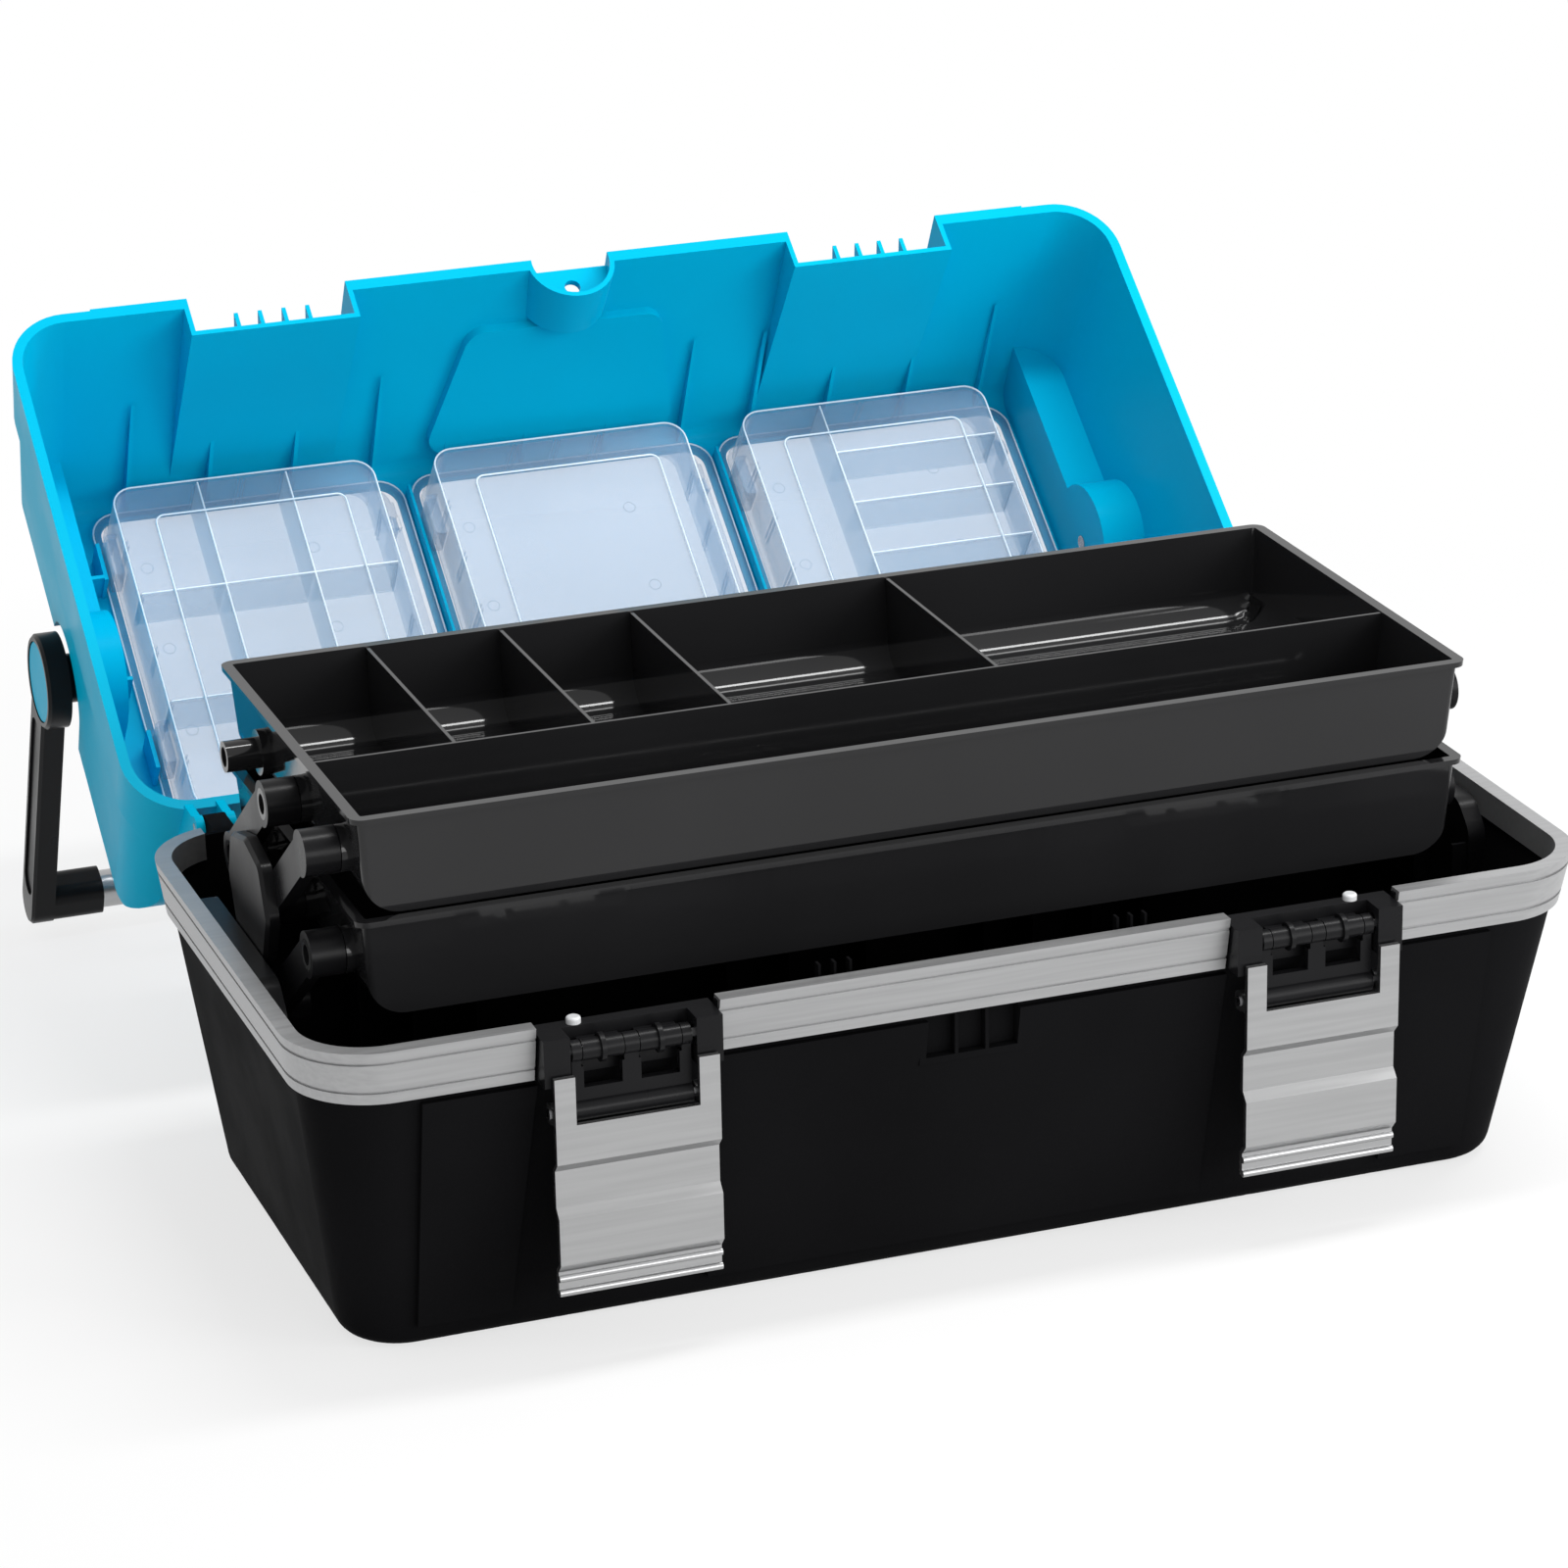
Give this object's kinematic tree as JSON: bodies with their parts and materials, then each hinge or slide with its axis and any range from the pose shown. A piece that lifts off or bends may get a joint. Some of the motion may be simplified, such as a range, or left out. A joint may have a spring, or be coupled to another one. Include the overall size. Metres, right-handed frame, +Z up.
{
  "type": "cantilever tool box",
  "caption": "Plastic tool box with hinged lid, bail handle, cantilever trays on arms, front latches and organiser boxes set in the lid.",
  "frame": {"origin": "middle of the flat underside of the base, on the floor", "axes": "+Z up, +X to the right when facing the latches, +Y to the rear, towards the lid's hinge"},
  "size_m": [0.5904, 0.6069, 0.3254],
  "materials": {
    "textured_black": "fine grained black plastic",
    "glossy_black": "glossy black plastic",
    "turquoise": "satin turquoise plastic",
    "clear": "milky clear plastic",
    "silver_trim": "satin anodised",
    "satin_aluminium": "satin extruded",
    "steel": "plain steel rod"
  },
  "bodies": {
    "base": {"base_tub": "textured_black", "trim_left": "silver_trim", "trim_middle": "silver_trim", "trim_right": "silver_trim", "arm_bracket_left": "glossy_black", "arm_bracket_right": "glossy_black", "latch_housing_left": "glossy_black", "latch_housing_right": "glossy_black", "latch_pin_left": "steel", "latch_pin_right": "steel", "rim_bumpers": "clear"},
    "lid": {"lid_shell": "turquoise", "lock_web": "turquoise", "hinge_pins": "steel", "handle_pin_left": "steel", "handle_pin_right": "steel"},
    "handle": {"handle_arm_left": "glossy_black", "handle_arm_right": "glossy_black", "handle_disc_left": "turquoise", "handle_disc_right": "turquoise", "handle_grip": "satin_aluminium"},
    "long_arms": {"long_arm_left": "glossy_black", "long_arm_right": "glossy_black"},
    "lower_arms": {"lower_arm_left": "glossy_black", "lower_arm_right": "glossy_black"},
    "upper_arms": {"upper_arm_left": "glossy_black", "upper_arm_right": "glossy_black"},
    "lower_tray": {"lower_tray": "glossy_black"},
    "upper_tray": {"upper_tray": "glossy_black"},
    "latch_link_left": {"latch_link_left": "glossy_black", "latch_rod_left": "steel"},
    "latch_lever_left": {"latch_lever_left": "satin_aluminium"},
    "latch_link_right": {"latch_link_right": "glossy_black", "latch_rod_right": "steel"},
    "latch_lever_right": {"latch_lever_right": "satin_aluminium"},
    "organiser_left": {"organiser_box_left": "clear", "organiser_dividers_left": "clear"},
    "organiser_cover_left": {"organiser_cover_left": "clear"},
    "organiser_middle": {"organiser_box_middle": "clear"},
    "organiser_cover_middle": {"organiser_cover_middle": "clear"},
    "organiser_right": {"organiser_box_right": "clear", "organiser_dividers_right": "clear"},
    "organiser_cover_right": {"organiser_cover_right": "clear"}
  },
  "joints": [
    {"name": "lid_hinge", "type": "hinge", "parent": "base", "child": "lid", "pos_m": [0, 0.158, 0.145], "axis": [1, 0, 0], "range_deg": [0, 142]},
    {"name": "handle_swing", "type": "hinge", "parent": "lid", "child": "handle", "pos_m": [0, 0.34863, 0.15764], "axis": [1, 0, 0], "range_deg": [0, 102.5]},
    {"name": "tray_lift", "type": "hinge", "parent": "base", "child": "long_arms", "pos_m": [0, 0.069, 0.1195], "axis": [1, 0, 0], "range_deg": [-80, 0]},
    {"name": "lower_tray_pivot", "type": "hinge", "parent": "long_arms", "child": "lower_tray", "pos_m": [0, 0.006, 0.165], "axis": [1, 0, 0], "range_deg": [0, 80]},
    {"name": "upper_tray_pivot", "type": "hinge", "parent": "long_arms", "child": "upper_tray", "pos_m": [0, -0.057, 0.2105], "axis": [1, 0, 0], "range_deg": [0, 80]},
    {"name": "lower_arm_pivot", "type": "hinge", "parent": "base", "child": "lower_arms", "pos_m": [0, 0.006, 0.1195], "axis": [1, 0, 0], "range_deg": [-80, 0]},
    {"name": "upper_arm_pivot", "type": "hinge", "parent": "lower_tray", "child": "upper_arms", "pos_m": [0, 0.069, 0.165], "axis": [1, 0, 0], "range_deg": [-80, 0]},
    {"name": "latch_link_swing_left", "type": "hinge", "parent": "base", "child": "latch_link_left", "pos_m": [-0.156, -0.14, 0.1395], "axis": [-1, 0, 0], "range_deg": [0, 150]},
    {"name": "latch_lever_swing_left", "type": "hinge", "parent": "latch_link_left", "child": "latch_lever_left", "pos_m": [-0.156, -0.141, 0.1135], "axis": [-1, 0, 0], "range_deg": [-150, 0]},
    {"name": "latch_link_swing_right", "type": "hinge", "parent": "base", "child": "latch_link_right", "pos_m": [0.156, -0.14, 0.1395], "axis": [-1, 0, 0], "range_deg": [0, 150]},
    {"name": "latch_lever_swing_right", "type": "hinge", "parent": "latch_link_right", "child": "latch_lever_right", "pos_m": [0.156, -0.141, 0.1135], "axis": [-1, 0, 0], "range_deg": [-150, 0]},
    {"name": "organiser_lift_left", "type": "slide", "parent": "lid", "child": "organiser_left", "axis": [0, 0.6157, -0.788], "range_m": [-0.045, 0]},
    {"name": "organiser_cover_swing_left", "type": "hinge", "parent": "organiser_left", "child": "organiser_cover_left", "pos_m": [-0.0865, 0.37577, 0.14077], "axis": [0, 0.788, 0.6157], "range_deg": [-40, 0]},
    {"name": "organiser_lift_middle", "type": "slide", "parent": "lid", "child": "organiser_middle", "axis": [0, 0.6157, -0.788], "range_m": [-0.045, 0]},
    {"name": "organiser_cover_swing_middle", "type": "hinge", "parent": "organiser_middle", "child": "organiser_cover_middle", "pos_m": [0.0795, 0.37577, 0.14077], "axis": [0, 0.788, 0.6157], "range_deg": [-40, 0]},
    {"name": "organiser_lift_right", "type": "slide", "parent": "lid", "child": "organiser_right", "axis": [0, 0.6157, -0.788], "range_m": [-0.045, 0]},
    {"name": "organiser_cover_swing_right", "type": "hinge", "parent": "organiser_right", "child": "organiser_cover_right", "pos_m": [0.2455, 0.37577, 0.14077], "axis": [0, 0.788, 0.6157], "range_deg": [-40, 0]}
  ],
  "couplings": [
    {"joint": "lower_tray_pivot", "follows": "tray_lift", "ratio": -1},
    {"joint": "upper_tray_pivot", "follows": "tray_lift", "ratio": -1},
    {"joint": "lower_arm_pivot", "follows": "tray_lift", "ratio": 1},
    {"joint": "upper_arm_pivot", "follows": "tray_lift", "ratio": 1},
    {"joint": "latch_lever_swing_left", "follows": "latch_link_swing_left", "ratio": -1},
    {"joint": "latch_lever_swing_right", "follows": "latch_link_swing_right", "ratio": -1}
  ]
}
